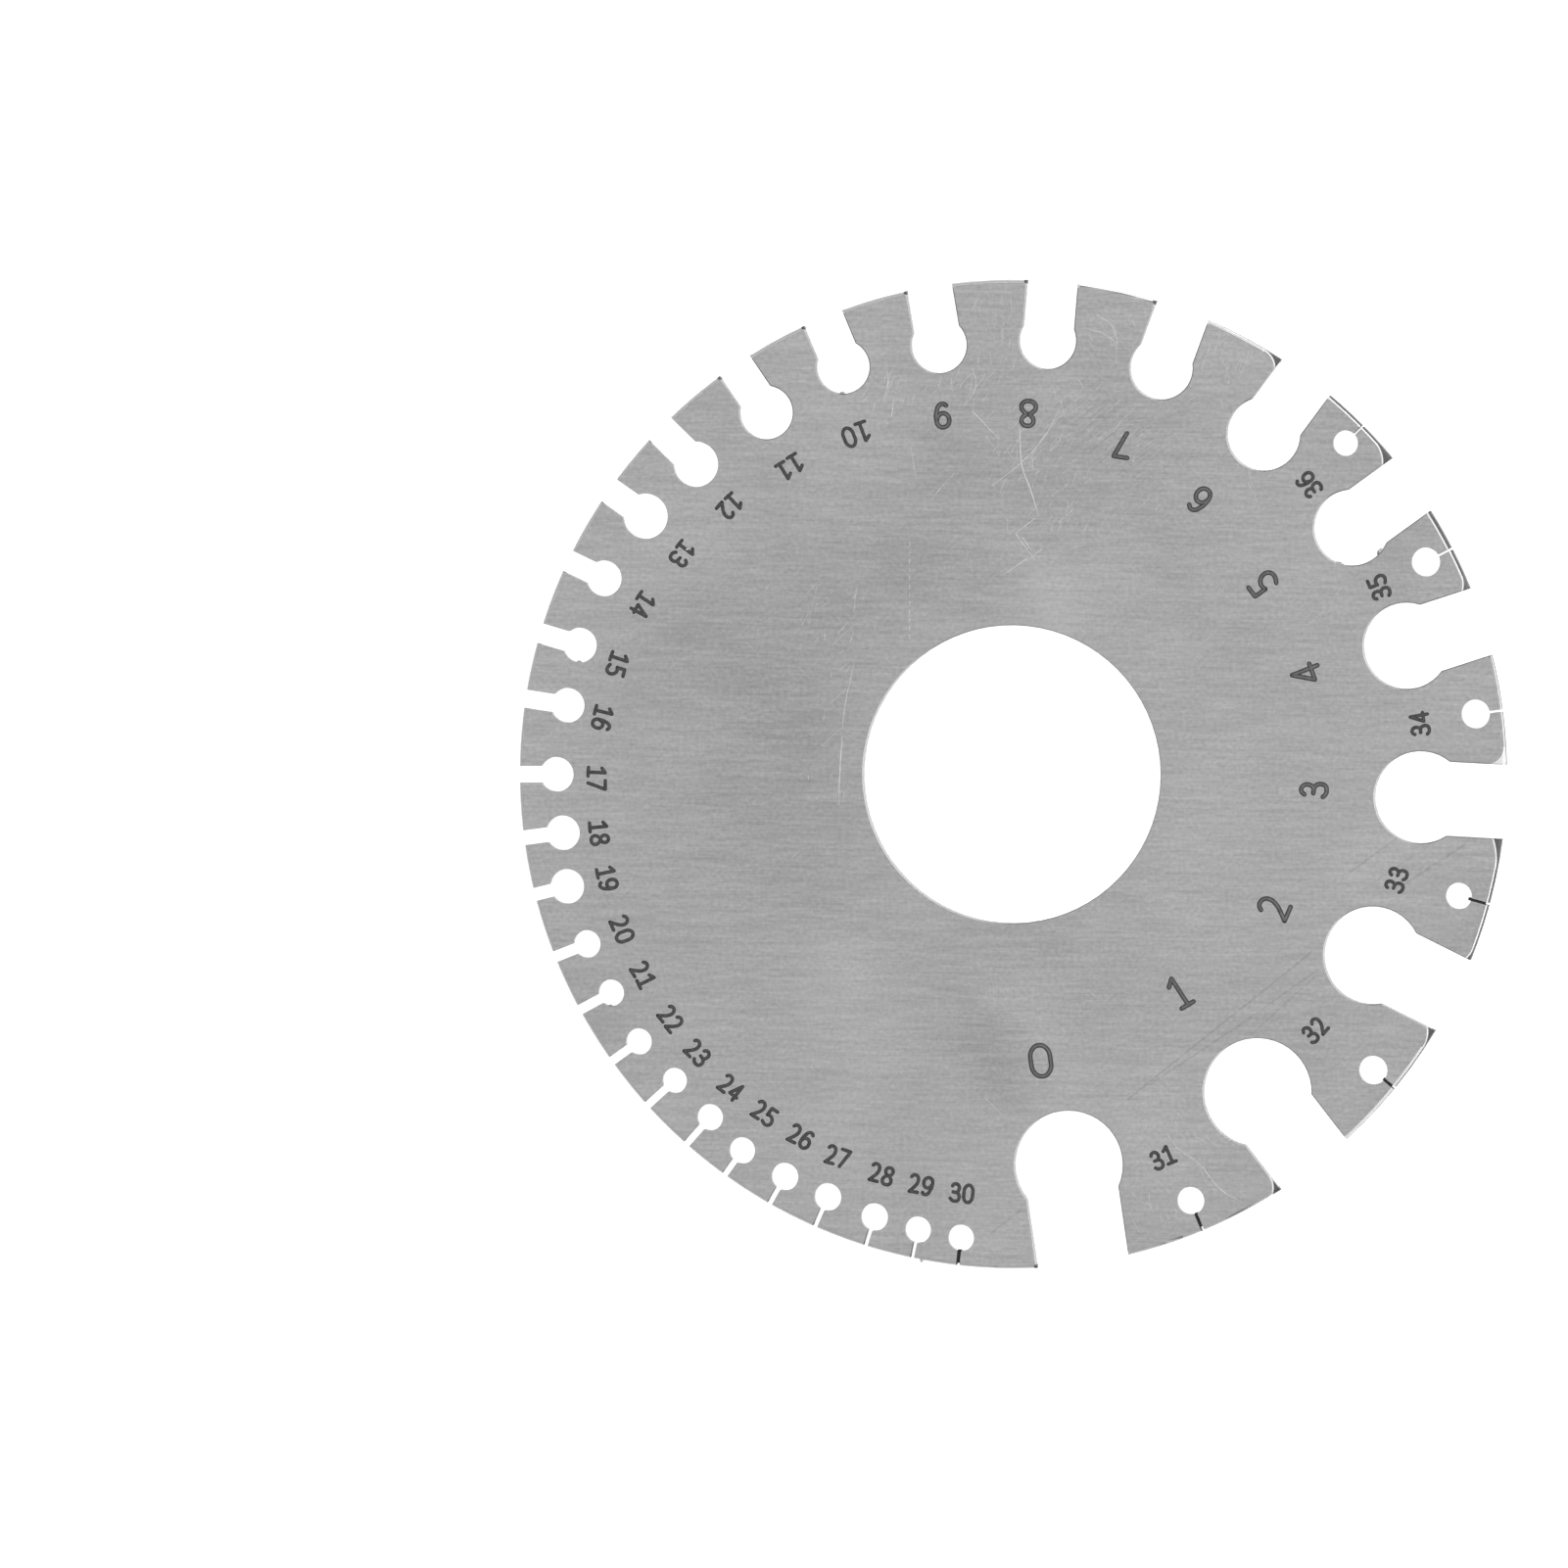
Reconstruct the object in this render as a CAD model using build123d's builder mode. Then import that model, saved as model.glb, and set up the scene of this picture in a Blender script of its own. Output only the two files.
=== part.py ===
from build123d import *
import os
from math import sqrt

# A round sheet gauge: one stamped stainless plate with a slot for every gauge number from 0 to 36.
# Each slot runs in from the rim and ends in a round relief hole. Sheet or wire fits the slot that
# has its number. Sizes are in millimetres.
# The origin is on the axis of the centre hole, on the face that the plate lies on, with +Z up.

# The blank
plate_diameter = 85.0
plate_thickness = 2.0
centre_hole_diameter = 25.6

# Edges of the upper face, drawn down by the press on its way through the sheet
rim_roll_radius = 0.3
slot_edge_break = 0.1
tab_corner_radius = 0.8
tab_corner_drop = 0.3
last_gauge_with_broken_edges = 11
last_gauge_with_rolled_corners = 11

# How far a cutter stands past the rim, so that it leaves no skin there
cutter_overrun = 1.0

# The standard sheet gauge, in 1/1280 inch. Between the gauges named here the sizes step evenly.
gauge_unit = 25.4 / 1280
gauge_sizes = {0: 400, 1: 360, 14: 100, 16: 80, 20: 48, 26: 24, 31: 14, 36: 9}

# Gauge number: direction from the centre in degrees, how deep the centre of the relief hole lies
# below the rim, and the diameter of the relief hole. Gauges 31 to 36 are cut in the tabs between
# the widest slots, and the rest follow each other round the plate.
layout = {
    0: (278.3, 8.6, 9.3),
    31: (292.8, 2.8, 2.4),
    1: (307.8, 8.0, 9.3),
    32: (320.8, 2.4, 2.5),
    2: (333.5, 7.8, 8.4),
    33: (344.9, 2.7, 2.3),
    3: (356.9, 7.3, 7.9),
    34: (7.5, 2.3, 2.5),
    4: (18.1, 6.8, 7.4),
    35: (27.2, 2.5, 2.5),
    5: (36.0, 6.4, 6.5),
    36: (44.8, 2.1, 2.2),
    6: (53.5, 6.1, 6.3),
    7: (69.8, 5.3, 5.4),
    8: (85.3, 5.1, 4.9),
    9: (99.7, 5.1, 4.8),
    10: (112.6, 4.6, 4.6),
    11: (124.3, 4.9, 4.6),
    12: (135.7, 4.4, 3.9),
    13: (145.0, 3.9, 3.9),
    14: (154.5, 3.5, 3.1),
    15: (163.5, 3.6, 3.0),
    16: (171.3, 3.7, 3.0),
    17: (180.1, 3.2, 3.0),
    18: (187.5, 3.4, 3.0),
    19: (194.2, 2.9, 3.0),
    20: (201.8, 3.0, 2.4),
    21: (208.6, 3.1, 2.3),
    22: (215.6, 2.9, 2.3),
    23: (222.2, 3.2, 2.2),
    24: (228.6, 3.1, 2.3),
    25: (234.3, 2.6, 2.3),
    26: (240.5, 2.7, 2.4),
    27: (246.4, 2.8, 2.4),
    28: (252.7, 2.6, 2.4),
    29: (258.3, 2.5, 2.3),
    30: (263.7, 2.4, 2.3),
}

plate_radius = plate_diameter / 2


def slot_width(gauge):
    """The size that the standard gives a gauge number."""
    above = min(known for known in gauge_sizes if known >= gauge)
    if above == gauge:
        return gauge_sizes[gauge] * gauge_unit
    below = max(known for known in gauge_sizes if known < gauge)
    share = (gauge - below) / (above - below)
    return (gauge_sizes[below] + (gauge_sizes[above] - gauge_sizes[below]) * share) * gauge_unit


def draw_relief_holes(gauges, margin=0.0):
    """Draws the relief hole of each gauge, wider by a margin all round."""
    for gauge in gauges:
        direction, relief_depth, relief_diameter = layout[gauge]
        with PolarLocations(plate_radius - relief_depth, 1, start_angle=direction):
            Circle(relief_diameter / 2 + margin)


def draw_slots(gauges, margin=0.0):
    """Draws the parallel stretch of each gauge's slot, from its relief hole out past the rim."""
    for gauge in gauges:
        direction, relief_depth, _ = layout[gauge]
        length = relief_depth + cutter_overrun
        with PolarLocations(plate_radius - relief_depth + length / 2, 1, start_angle=direction):
            Rectangle(length, slot_width(gauge) + 2 * margin)


def tab_corners(gauge):
    """The middle of the rounding at the two tab corners beside a slot, turned to face the corner."""
    direction = layout[gauge][0]
    half_width = slot_width(gauge) / 2
    along = sqrt(plate_radius**2 - half_width**2) - tab_corner_radius
    across = half_width + tab_corner_radius
    slot_axis = Location((0, 0, plate_thickness), (0, 0, direction))
    return [
        slot_axis * Location((along, across, 0), (0, 0, -90)),
        slot_axis * Location((along, -across, 0)),
    ]


broken_gauges = [gauge for gauge in layout if gauge <= last_gauge_with_broken_edges]
rolled_gauges = [gauge for gauge in layout if gauge <= last_gauge_with_rolled_corners]

# What a drawn-down corner has lost: the material outside a cone that widens from the rounding on
# the face until it reaches the tip of the corner
with BuildPart() as corner_cutter:
    cutter_reach = tab_corner_radius + cutter_overrun
    Box(cutter_reach, cutter_reach, tab_corner_drop, align=(Align.MIN, Align.MIN, Align.MAX))
    Cone(
        bottom_radius=tab_corner_radius * sqrt(2),
        top_radius=tab_corner_radius,
        height=tab_corner_drop,
        align=(Align.CENTER, Align.CENTER, Align.MAX),
        mode=Mode.SUBTRACT,
    )

with BuildPart() as gauge_plate:
    # The blank, with its rim rolled and its centre hole bevelled on the upper face
    with BuildSketch():
        Circle(plate_radius)
        Circle(centre_hole_diameter / 2, mode=Mode.SUBTRACT)
    extrude(amount=plate_thickness)
    upper_circles = gauge_plate.edges().filter_by(GeomType.CIRCLE).group_by(Axis.Z)[-1]
    fillet(upper_circles.sort_by(SortBy.RADIUS)[-1], radius=rim_roll_radius)
    chamfer(upper_circles.sort_by(SortBy.RADIUS)[0], length=slot_edge_break)

    # The gauge slots, each with its relief hole
    with BuildSketch():
        draw_relief_holes(layout)
        draw_slots(layout)
    extrude(amount=plate_thickness, mode=Mode.SUBTRACT)

    # The broken edges of the wide slots: a tapered cut that closes to the slot's own outline
    with BuildSketch(Plane.XY.offset(plate_thickness)):
        draw_relief_holes(broken_gauges, slot_edge_break)
    extrude(amount=-slot_edge_break, taper=45, mode=Mode.SUBTRACT)
    with BuildSketch(Plane.XY.offset(plate_thickness)):
        draw_slots(broken_gauges, slot_edge_break)
    extrude(amount=-slot_edge_break, taper=45, mode=Mode.SUBTRACT)

    # The drawn-down corners of the tabs between the wide slots
    with Locations(*[corner for gauge in rolled_gauges for corner in tab_corners(gauge)]):
        add(corner_cutter.part, mode=Mode.SUBTRACT)

gauge_plate.part.label = "gauge_plate"

os.makedirs("parts", exist_ok=True)
export_step(gauge_plate.part, "parts/gauge_plate.step")
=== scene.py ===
# %% [markdown]
# # A round wire gauge plate
# The real object is one piece of stamped stainless sheet. Slots run in from its rim, one for each
# gauge number, and each slot ends in a round relief hole. The imported model already has that shape,
# so this script adds what a press and a polishing belt leave behind: the brushed face, the sheared
# walls, the engraved numerals, and the scratches and burrs of use. It also paints light and shade
# across the face, on the edges, in the numerals and in the finest slots.

import random
from math import cos, radians, sin

import bmesh
import bpy
from mathutils import Matrix, Vector, noise


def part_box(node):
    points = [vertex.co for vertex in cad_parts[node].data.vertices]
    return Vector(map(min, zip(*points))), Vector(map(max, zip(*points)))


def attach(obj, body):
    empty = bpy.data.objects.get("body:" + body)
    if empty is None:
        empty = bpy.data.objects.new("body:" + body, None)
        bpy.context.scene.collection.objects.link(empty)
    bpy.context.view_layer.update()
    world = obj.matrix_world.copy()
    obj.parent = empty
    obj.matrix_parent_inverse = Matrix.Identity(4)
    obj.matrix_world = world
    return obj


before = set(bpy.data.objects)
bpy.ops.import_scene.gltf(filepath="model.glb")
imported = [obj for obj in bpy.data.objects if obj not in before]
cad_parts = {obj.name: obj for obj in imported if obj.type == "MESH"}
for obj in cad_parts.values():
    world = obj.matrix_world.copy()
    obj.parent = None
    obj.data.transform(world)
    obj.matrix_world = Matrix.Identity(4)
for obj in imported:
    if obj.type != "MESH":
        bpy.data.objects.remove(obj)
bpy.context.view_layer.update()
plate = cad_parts["gauge_plate"]
_, plate_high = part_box("gauge_plate")
mm = 0.001
face_height = plate_high.z
plate_radius = plate_high.y
print(f"plate: {2 * plate_radius / mm:.1f} mm across, {face_height / mm:.2f} mm thick")

# %% [markdown]
# ## Helpers for shader nodes
# A material here is a tree of small nodes. Making each node takes the same few lines, so one helper
# adds a node, sets it up and links its inputs. The others use it: for arithmetic on numbers, for
# arithmetic on vectors, and to stretch a range of values. A texture on Object coordinates is
# measured in metres, as the mesh is, so its scale can be read as a number of features to the metre.

# %% Node helpers
def add_node(tree, kind, inputs=None, **settings):
    """Adds a node, gives it its settings, and fills or links each named input."""
    node = tree.nodes.new(kind)
    for name, value in settings.items():
        setattr(node, name, value)
    for key, value in (inputs or {}).items():
        if isinstance(value, bpy.types.NodeSocket):
            tree.links.new(value, node.inputs[key])
        else:
            node.inputs[key].default_value = value
    return node


def calculate(tree, operation, first, second=0.0):
    """Adds one arithmetic node and returns its result."""
    return add_node(tree, "ShaderNodeMath", {0: first, 1: second}, operation=operation).outputs[0]


def vector_calculate(tree, operation, first, second=(0, 0, 0), result="Vector"):
    """Adds one node of vector arithmetic and returns its result, a vector or a value."""
    node = add_node(tree, "ShaderNodeVectorMath", {0: first, 1: second}, operation=operation)
    return node.outputs[result]


def remap(tree, value, from_low, from_high, to_low, to_high):
    """Stretches a range of values to another one, and holds it there."""
    settings = {"From Min": from_low, "From Max": from_high, "To Min": to_low, "To Max": to_high}
    return add_node(tree, "ShaderNodeMapRange", {"Value": value, **settings}).outputs[0]


def new_material(name, roughness, metallic):
    """A material whose roughness and metallic are set on the shader's own sockets."""
    material = bpy.data.materials.new(name)
    material.use_nodes = True
    shader = material.node_tree.nodes["Principled BSDF"]
    shader.inputs["Roughness"].default_value = roughness
    shader.inputs["Metallic"].default_value = metallic
    return material, material.node_tree, shader


# %% [markdown]
# ## The brushed face
# A belt has brushed the sheet along X, and left a dense coat of short fine dashes. A noise texture
# squeezed in one direction turns its spots into such lines. Three of them are laid over each other:
# short dashes, longer and fainter streaks, and an even speckle where the belt only pressed. Beside
# gauges 7 and 8 the plate was rubbed again at a slant. Slow clouds give the tone that handling
# leaves. Real scratches in a mesh this large would cost millions of faces, and look the same.

# %% Grain and clouds
def grain(tree, coordinates, turn, along, across):
    """Fine lines: a noise stretched along one direction, turned about Z. Both are counts to the metre."""
    rotation = (0, 0, radians(turn))
    turned = add_node(tree, "ShaderNodeMapping", {"Vector": coordinates, "Rotation": rotation}).outputs[0]
    squeezed = vector_calculate(tree, "MULTIPLY", turned, (along, across, along))
    lines = add_node(tree, "ShaderNodeTexNoise", {"Vector": squeezed, "Scale": 1.0, "Detail": 2.0})
    return lines.outputs["Fac"]


def clouds(tree, coordinates, scale):
    """Soft patches, with their number to the metre."""
    spots = add_node(tree, "ShaderNodeTexNoise", {"Vector": coordinates, "Scale": scale, "Detail": 4.0})
    return spots.outputs["Fac"]


def mix(tree, share, first, second):
    """Goes from the first value to the second as the share goes from 0 to 1."""
    return add_node(tree, "ShaderNodeMix", {"Factor": share, "A": first, "B": second}).outputs[0]


steel, tree, shader = new_material("brushed_stainless", roughness=0.42, metallic=1.0)
texture_place = add_node(tree, "ShaderNodeTexCoord")
position = texture_place.outputs["Object"]

dashes = grain(tree, position, 0, 760, 6200)
streaks = grain(tree, position, 1, 210, 3600)
speckle = clouds(tree, position, 3000)
dash_tone = remap(tree, dashes, 0.25, 0.75, 0.86, 1.14)
streak_tone = remap(tree, streaks, 0.25, 0.75, 0.91, 1.09)
speckle_tone = remap(tree, speckle, 0.25, 0.75, 0.87, 1.13)
cloud_tone = remap(tree, clouds(tree, position, 85), 0.3, 0.7, 0.95, 1.05)
line_tone = calculate(tree, "MULTIPLY", dash_tone, streak_tone)
soft_tone = calculate(tree, "MULTIPLY", speckle_tone, cloud_tone)
face_tone = calculate(tree, "MULTIPLY", line_tone, soft_tone)
print("brushed face: dashes, streaks, speckle and clouds")

# %% [markdown]
# ## Soft marks
# A groove rubbed dark, a patch that handling has dulled, and a broad band of painted light and shade
# across the face each have a place and a direction, so they can't be left to noise. A node group works
# out how far a point lies from a line between two given ends, and turns that into a soft line. The
# group is made once and used for each mark: a narrow one reads as a groove, a wide and very faint one
# as a patch, and the widest as painted light and shade.

# %% The group that draws a soft line
line_group = bpy.data.node_groups.new("soft_line", "ShaderNodeTree")
line_inputs = {"Point": "Vector", "Start": "Vector", "Run": "Vector", "Half Width": "Float"}
for label, kind in line_inputs.items():
    line_group.interface.new_socket(label, in_out="INPUT", socket_type=f"NodeSocket{kind}")
line_group.interface.new_socket("Line", in_out="OUTPUT", socket_type="NodeSocketFloat")
ends = add_node(line_group, "NodeGroupInput").outputs
from_start = vector_calculate(line_group, "SUBTRACT", ends["Point"], ends["Start"])
gone_along = vector_calculate(line_group, "DOT_PRODUCT", from_start, ends["Run"], "Value")
whole_run = vector_calculate(line_group, "DOT_PRODUCT", ends["Run"], ends["Run"], "Value")
share = calculate(line_group, "DIVIDE", gone_along, whole_run)
share = remap(line_group, share, 0.0, 1.0, 0.0, 1.0)
nearest = add_node(line_group, "ShaderNodeVectorMath", {0: ends["Run"], "Scale": share}, operation="SCALE")
distance = vector_calculate(line_group, "DISTANCE", from_start, nearest.outputs[0], "Value")
line = calculate(line_group, "DIVIDE", distance, ends["Half Width"])
line = remap(line_group, line, 0.2, 1.0, 1.0, 0.0)
add_node(line_group, "NodeGroupOutput", {"Line": line})
print("group:", line_group.name)

# %% Where the soft marks lie: half width in mm, strength, and the places in mm that each runs through
soft_marks = {
    "dark grooves": [
        (0.11, -0.18, [(10.0, -27.9), (15.3, -23.6), (21.6, -18.6), (25.8, -15.2)]),
        (0.10, -0.15, [(11.9, -26.6), (19.3, -21.7), (26.5, -16.6)]),
        (0.10, -0.12, [(20.2, -22.7), (26.3, -17.1)]),
        (0.14, -0.13, [(29.0, -8.4), (34.4, -4.5)]),
        (0.13, -0.10, [(30.3, -9.8), (34.4, -7.0)]),
        (0.15, -0.13, [(33.6, -9.5), (39.0, -5.9)]),
        (0.11, -0.15, [(-1.9, -39.5), (0.7, -37.5)]),
    ],
    "patches": [
        # The first four patches, the widest, are painted shade on the left and top of the face and painted
        # light on its bottom and right.
        (16.0, -0.09, [(-22.0, 2.0), (-19.0, 12.0)]),
        (12.0, -0.05, [(-6.0, 27.0), (10.0, 27.0)]),
        (14.0, 0.045, [(-14.0, -30.0), (8.0, -32.0)]),
        (12.0, 0.03, [(30.0, -10.0), (32.0, 4.0)]),
        (4.2, -0.14, [(-2.2, -23.2), (-0.8, -25.8)]),
        (3.0, -0.06, [(0.6, -13.6), (4.4, -14.4)]),
        (4.8, -0.08, [(-8.6, 17.6), (-4.0, 16.4)]),
        (3.4, 0.09, [(3.6, 16.4), (4.2, 14.4)]),
        (3.8, 0.03, [(7.8, 20.6), (8.8, 17.0)]),
        (5.5, -0.05, [(-24.0, 12.0), (-18.0, 4.0)]),
        (7.0, -0.05, [(-25.0, -6.0), (-23.0, -10.0)]),
        (5.0, 0.05, [(-15.0, -17.0), (-11.0, -22.0)]),
    ],
}

# %% Draw them on the face
flat_point = vector_calculate(tree, "MULTIPLY", position, (1 / mm, 1 / mm, 0))


def mark(half_width, places):
    """A soft line through the places, in mm. Where its runs meet, it gets no stronger."""
    whole = None
    for (start_x, start_y), (end_x, end_y) in zip(places, places[1:]):
        sockets = {
            "Point": flat_point,
            "Start": (start_x, start_y, 0),
            "Run": (end_x - start_x, end_y - start_y, 0),
            "Half Width": half_width,
        }
        run = add_node(tree, "ShaderNodeGroup", sockets, node_tree=line_group).outputs["Line"]
        whole = run if whole is None else calculate(tree, "MAXIMUM", whole, run)
    return whole


for rows in soft_marks.values():
    for half_width, strength, places in rows:
        soft_mark = calculate(tree, "MULTIPLY", mark(half_width, places), strength)
        face_tone = calculate(tree, "ADD", face_tone, soft_mark)
rubbed = mark(4.0, [(5.5, 31.5), (11.0, 27.5)])
slanted_lines = remap(tree, grain(tree, position, -38, 420, 5000), 0.25, 0.75, -0.14, 0.14)
face_tone = calculate(tree, "ADD", face_tone, calculate(tree, "MULTIPLY", rubbed, slanted_lines))
print("soft marks:", {kind: len(rows) for kind, rows in soft_marks.items()})

# %% [markdown]
# ## The lip and the sheared walls: painted light and shade
# Under the face the sheet bends down a little before it is cut. The wall of a slot is smooth for a third
# of its height and torn below that. On the edges that look to +X, a little to +Y, towards the strip
# lamp, the colour holds painted light and shade: a painted highlight on the lip of a slot, painted
# shade on the smooth band and painted light on the torn band, and painted shade on the rim's lip and
# wall, but for a paler stretch of painted light near gauge 34. The edges that look other ways are
# brushed like the face, with a painted highlight on the rim's roll. How deep a point lies, how far
# out, and which way its surface looks tell all this apart, so one material carries it.

# %% Where a point lies on the plate
point_height = add_node(tree, "ShaderNodeSeparateXYZ", {0: position}).outputs["Z"]
depth = calculate(tree, "SUBTRACT", face_height, point_height)
reach = vector_calculate(tree, "LENGTH", flat_point, result="Value")
rim_start = plate_radius / mm - 0.32
on_rim = remap(tree, reach, rim_start - 0.04, rim_start, 0.0, 1.0)
level_normal = vector_calculate(tree, "MULTIPLY", texture_place.outputs["Normal"], (1, 1, 0))
outward = vector_calculate(tree, "NORMALIZE", level_normal)


def facing(bearing, from_dot, to_dot):
    """Goes from 0 to 1 as the surface turns to a compass bearing, in degrees from +X."""
    bearing_vector = (cos(radians(bearing)), sin(radians(bearing)), 0)
    turned_to = vector_calculate(tree, "DOT_PRODUCT", outward, bearing_vector, "Value")
    return remap(tree, turned_to, from_dot, to_dot, 0.0, 1.0)


# The edges that look to this bearing, in degrees from +X, towards the strip lamp, get the painted light and
# shade.
lit_bearing = 15
lit_side = facing(lit_bearing, 0.25, 0.5)
below_face = remap(tree, depth, 0.002 * mm, 0.008 * mm, 0.0, 1.0)
lip_depth, rim_lip_depth = 0.105 * mm, 0.045 * mm
lip_end = mix(tree, on_rim, lip_depth, rim_lip_depth)
below_lip = remap(tree, calculate(tree, "SUBTRACT", depth, lip_end), 0.0, 0.012 * mm, 0.0, 1.0)

# The roll: on the rim, just below the face and above the wall
above_roll_foot = remap(tree, depth, 0.26 * mm, 0.28 * mm, 1.0, 0.0)
below_roll_top = remap(tree, depth, 0.001 * mm, 0.002 * mm, 0.0, 1.0)
rolled = calculate(tree, "MULTIPLY", on_rim, above_roll_foot)
rolled = calculate(tree, "MULTIPLY", rolled, below_roll_top)
print(f"lip: {lip_depth / mm:.3f} mm deep at the slots, {rim_lip_depth / mm:.3f} mm at the rim")

# %% Tones of the lip and the walls
across_wall, down_wall = 5200, 260
wall_streaks = vector_calculate(tree, "MULTIPLY", position, (across_wall, across_wall, down_wall))
wall_noise = add_node(tree, "ShaderNodeTexNoise", {"Vector": wall_streaks, "Scale": 1.0, "Detail": 2.0})
streak_noise = wall_noise.outputs["Fac"]
# Painted highlight on the lips of the slots and on the rim's roll, and slight painted shade on the rim's
# lip, as multiples of the steel's grey.
lip_highlight, rim_lip_shade, roll_highlight = 1.9, 0.85, 1.7
torn = remap(tree, depth, 0.6 * mm, 0.8 * mm, 0.0, 1.0)
# Painted shade on the smooth band of a slot's wall, and painted light on its torn band.
smooth_tone = remap(tree, streak_noise, 0.3, 0.7, 0.42, 0.6)
torn_tone = remap(tree, streak_noise, 0.3, 0.7, 1.25, 1.65)
slot_tone = mix(tree, torn, smooth_tone, torn_tone)
# Painted shade on the rim's wall, and painted light on a paler stretch near gauge 34.
rim_wall_shade = remap(tree, streak_noise, 0.3, 0.7, 0.26, 0.42)
pale_stretch = mark(4.0, [(42.3, 1.5), (41.7, 8.0)])
pale_rim_tone = 0.75
rim_foot = remap(tree, depth, 0.5 * mm, 0.8 * mm, 0.0, 1.0)
rim_tone = mix(tree, calculate(tree, "SUBTRACT", pale_stretch, rim_foot), rim_wall_shade, pale_rim_tone)
wall_tone = mix(tree, on_rim, slot_tone, rim_tone)
brushed_and_roll_highlight = remap(tree, streak_noise, 0.3, 0.7, 0.85, 1.05)
# A painted highlight on the rim's roll, on the edges that look away from the strip lamp.
brushed_and_roll_highlight = mix(tree, rolled, brushed_and_roll_highlight, roll_highlight)
lip = mix(tree, on_rim, lip_highlight, rim_lip_shade)
edge_tone = mix(tree, lit_side, brushed_and_roll_highlight, mix(tree, below_lip, lip, wall_tone))
tone = mix(tree, below_face, face_tone, edge_tone)
print("tones: lip", lip_highlight, "lip at the rim", rim_lip_shade, "roll", roll_highlight)

# %% [markdown]
# ## The painted highlight along the rim and the drawn-down corners
# The press drew the sheet down all round the rim, and further at some tab corners. A bright line
# of painted highlight runs round the end of the flat. Beyond that line lies painted shade on some
# tabs and painted light on others. The imported mesh has too few faces there to carry a line that is a
# tenth of a millimetre wide. So a second node group draws it as an arc round a centre, within a
# sector, and marks what lies beyond. Along the rim the centre is the plate's own axis.

# %% The group that draws an arc
arc_group = bpy.data.node_groups.new("bright_arc", "ShaderNodeTree")
arc_inputs = {
    "Point": "Vector", "Centre": "Vector", "Towards": "Vector",
    "Radius": "Float", "Tip": "Float", "Sector": "Float",
}
for label, kind in arc_inputs.items():
    arc_group.interface.new_socket(label, in_out="INPUT", socket_type=f"NodeSocket{kind}")
for label in ("Line", "Beyond"):
    arc_group.interface.new_socket(label, in_out="OUTPUT", socket_type="NodeSocketFloat")
given = add_node(arc_group, "NodeGroupInput").outputs
from_centre = vector_calculate(arc_group, "SUBTRACT", given["Point"], given["Centre"])
away = vector_calculate(arc_group, "LENGTH", from_centre, result="Value")
ahead = vector_calculate(arc_group, "DOT_PRODUCT", from_centre, given["Towards"], "Value")

# Inside the sector and short of the tip, with the sector's half angle given as its cosine
cosine = calculate(arc_group, "DIVIDE", ahead, away)
past_sides = calculate(arc_group, "SUBTRACT", cosine, given["Sector"])
between_sides = remap(arc_group, past_sides, 0.0, 0.00004, 0.0, 1.0)
past_tip = calculate(arc_group, "SUBTRACT", away, given["Tip"])
short_of_tip = remap(arc_group, past_tip, 0.0, 0.05, 1.0, 0.0)
inside = calculate(arc_group, "MULTIPLY", between_sides, short_of_tip)

# The line itself, soft at both sides, and all that lies past it
past = calculate(arc_group, "SUBTRACT", away, given["Radius"])
off_line = calculate(arc_group, "ABSOLUTE", past)
bright_line = remap(arc_group, off_line, 0.035, 0.08, 1.0, 0.0)
past_line = remap(arc_group, past, 0.06, 0.10, 0.0, 1.0)
arc_results = {
    "Line": calculate(arc_group, "MULTIPLY", bright_line, inside),
    "Beyond": calculate(arc_group, "MULTIPLY", past_line, inside),
}
add_node(arc_group, "NodeGroupOutput", arc_results)
print("group:", arc_group.name)

# %% Where the arcs lie
# Tones beyond a line, as multiples of the steel's grey: painted shade, and painted light.
shade_beyond, light_beyond = 0.34, 2.0

# Along the rim: where each arc starts and ends, in degrees, its radius in mm, the tone of its painted
# highlight, and the tone beyond it, painted shade on some tabs and painted light on others
rim_arcs = [
    (-76.9, -57.5, 42.45, 1.6, light_beyond),
    (-47.4, -39.2, 42.30, 2.3, shade_beyond), (-47.4, -39.2, 42.40, 2.5, shade_beyond),
    (-39.2, -33.4, 42.28, 2.2, shade_beyond), (-39.2, -33.4, 42.37, 2.5, shade_beyond),
    (-20.6, -15.1, 42.34, 2.2, 0.28), (-15.1, -10.95, 42.31, 2.1, 0.28),
    (3.35, 7.5, 42.45, 1.9, light_beyond), (7.5, 14.1, 42.48, 1.9, light_beyond),
    (23.9, 27.2, 42.26, 2.2, 0.33), (27.2, 32.3, 42.20, 2.4, 0.33), (42.45, 49.9, 42.31, 2.3, 0.31),
    (59.1, 66.6, 42.33, 2.0, light_beyond), (59.1, 66.6, 42.44, 2.1, light_beyond),
    (73.4, 82.2, 42.45, 2.5, light_beyond),
]
# At a corner: where the arc leaves the rim's, the side it turns to (1 is anticlockwise), how far out it lies
# there, its own radius, how many degrees it turns through, the tone of its painted highlight, and
# the tone beyond it, painted shade at all but one corner, where it is painted light
corner_arcs = [
    (-59.85, 1, 42.9, 1.9, 95, 2.3, shade_beyond), (-33.4, 1, 42.38, 2.4, 50, 2.4, shade_beyond),
    (-20.6, -1, 42.34, 1.8, 50, 2.2, shade_beyond), (-10.95, 1, 42.33, 5.0, 50, 2.3, shade_beyond),
    (3.35, -1, 42.43, 1.5, 90, 2.2, light_beyond), (23.9, -1, 42.26, 1.9, 60, 2.3, 0.42),
    (42.45, -1, 42.31, 2.5, 55, 2.3, shade_beyond), (59.1, -1, 42.41, 1.7, 65, 2.3, shade_beyond),
]

# %% Draw the arcs
rim_reach, corner_reach = 1.0, 0.95
above_wall = remap(tree, depth, 0.28 * mm, 0.34 * mm, 1.0, 0.0)


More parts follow.
